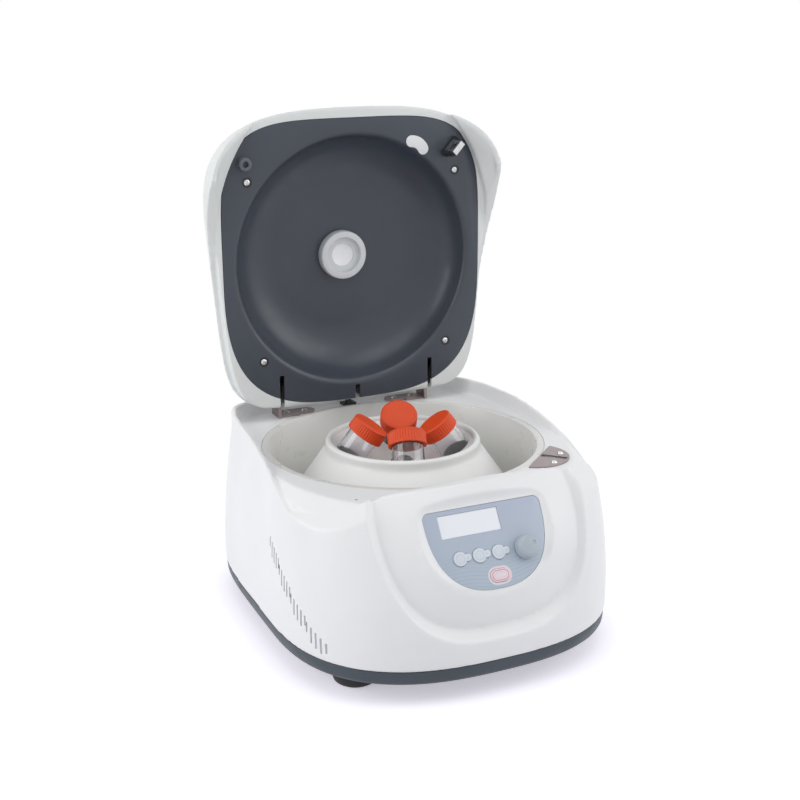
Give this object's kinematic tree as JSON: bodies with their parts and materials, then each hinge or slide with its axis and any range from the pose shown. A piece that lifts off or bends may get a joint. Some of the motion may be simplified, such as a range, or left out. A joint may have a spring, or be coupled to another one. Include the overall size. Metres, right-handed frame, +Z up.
{
  "type": "bench centrifuge",
  "caption": "Bench centrifuge with a hinged dished lid, a fixed angle rotor that holds capped tubes, a round chamber, a deck latch and a sloped control panel.",
  "frame": {"origin": "on the bench under the middle of the footprint; the rotor shaft stands 16.5 mm behind it", "axes": "+X to the right and +Y to the rear as seen from the control panel, +Z up"},
  "size_m": [0.298, 0.353, 0.4505],
  "materials": {
    "housing": "smooth moulded white plastic",
    "lid": "smooth moulded white plastic",
    "tray": "fine grained slate plastic",
    "rubber": "soft black rubber",
    "screws": "bright zinc plated steel",
    "steel": "ground steel",
    "bowl": "white enamel on spun steel",
    "motor": "dark painted housing",
    "rotor": "satin white moulded plastic",
    "nut": "knurled anodised aluminium",
    "tube": "clear moulded plastic",
    "cap": "ribbed orange plastic",
    "panel": "satin printed film on a plastic plate",
    "display": "bright display behind clear plastic",
    "board": "green laminate with components",
    "button": "pale soft touch plastic",
    "key": "pale plastic with a tinted rim",
    "knob": "satin grey plastic",
    "black_plastic": "black moulded plastic",
    "bronze_steel": "brownish grey plated steel",
    "liner": "satin slate plastic",
    "ring": "satin grey plastic",
    "window": "clear plastic pane",
    "plug": "soft grey rubber"
  },
  "bodies": {
    "base": {"base_tray": "tray", "feet": "rubber", "tray_screws": "screws", "main_housing": "housing", "chamber_bowl": "bowl", "shaft_seal": "rubber", "motor": "motor", "motor_plate": "steel", "dampers": "rubber", "control_panel": "panel", "display_window": "display", "display_module": "board", "control_board": "board", "encoder": "black_plastic", "strike_plate": "bronze_steel", "strike_screws": "screws", "latch_case": "black_plastic", "hinge_brackets": "bronze_steel", "bracket_screws": "screws", "hinge_pins": "steel", "lid_stop": "black_plastic", "power_inlet": "black_plastic", "rocker_frame": "black_plastic", "power_board": "board"},
    "lid": {"lid_shell": "lid", "lid_liner": "liner", "liner_screws": "screws", "hinge_blocks": "black_plastic", "sight_ring": "ring", "sight_window": "window", "lid_plug": "plug", "lid_buffer": "plug", "hook_holder": "black_plastic", "lid_hook": "steel"},
    "spinner": {"motor_shaft": "steel", "rotor": "rotor", "rotor_nut": "nut", "tube_1": "tube", "tube_2": "tube", "tube_3": "tube", "tube_4": "tube", "cap_1": "cap", "cap_2": "cap", "cap_3": "cap", "cap_4": "cap"},
    "left_button": {"button_left": "button"},
    "middle_button": {"button_middle": "button"},
    "right_button": {"button_right": "button"},
    "key": {"start_key": "key"},
    "dial": {"knob": "knob"},
    "bolt": {"latch_bolt": "steel"},
    "rocker": {"power_rocker": "black_plastic"}
  },
  "joints": [
    {"name": "lid_hinge", "type": "hinge", "parent": "base", "child": "lid", "pos_m": [0, 0.1385, 0.1867], "axis": [1, 0, 0], "range_deg": [0, 90]},
    {"name": "rotor_spin", "type": "hinge", "parent": "base", "child": "spinner", "pos_m": [0, 0.0165, 0.1], "axis": [0, 0, 1], "continuous": true},
    {"name": "knob_turn", "type": "hinge", "parent": "base", "child": "dial", "pos_m": [0.0305, -0.15412, 0.1154], "axis": [0, -0.848, 0.5299], "continuous": true},
    {"name": "left_button_press", "type": "slide", "parent": "base", "child": "left_button", "axis": [0, 0.848, -0.5299], "range_m": [0, 0.0008], "stiffness_N_per_m": 500},
    {"name": "middle_button_press", "type": "slide", "parent": "base", "child": "middle_button", "axis": [0, 0.848, -0.5299], "range_m": [0, 0.0008], "stiffness_N_per_m": 500},
    {"name": "right_button_press", "type": "slide", "parent": "base", "child": "right_button", "axis": [0, 0.848, -0.5299], "range_m": [0, 0.0008], "stiffness_N_per_m": 500},
    {"name": "start_key_press", "type": "slide", "parent": "base", "child": "key", "axis": [0, 0.848, -0.5299], "range_m": [0, 0.0008], "stiffness_N_per_m": 500},
    {"name": "rocker_tilt", "type": "hinge", "parent": "base", "child": "rocker", "pos_m": [0.072, 0.162, 0.069], "axis": [1, 0, 0], "range_deg": [-16, 0]},
    {"name": "bolt_slide", "type": "slide", "parent": "base", "child": "bolt", "axis": [-0.7408, -0.6717, 0], "range_m": [0, 0.009], "stiffness_N_per_m": 30}
  ]
}
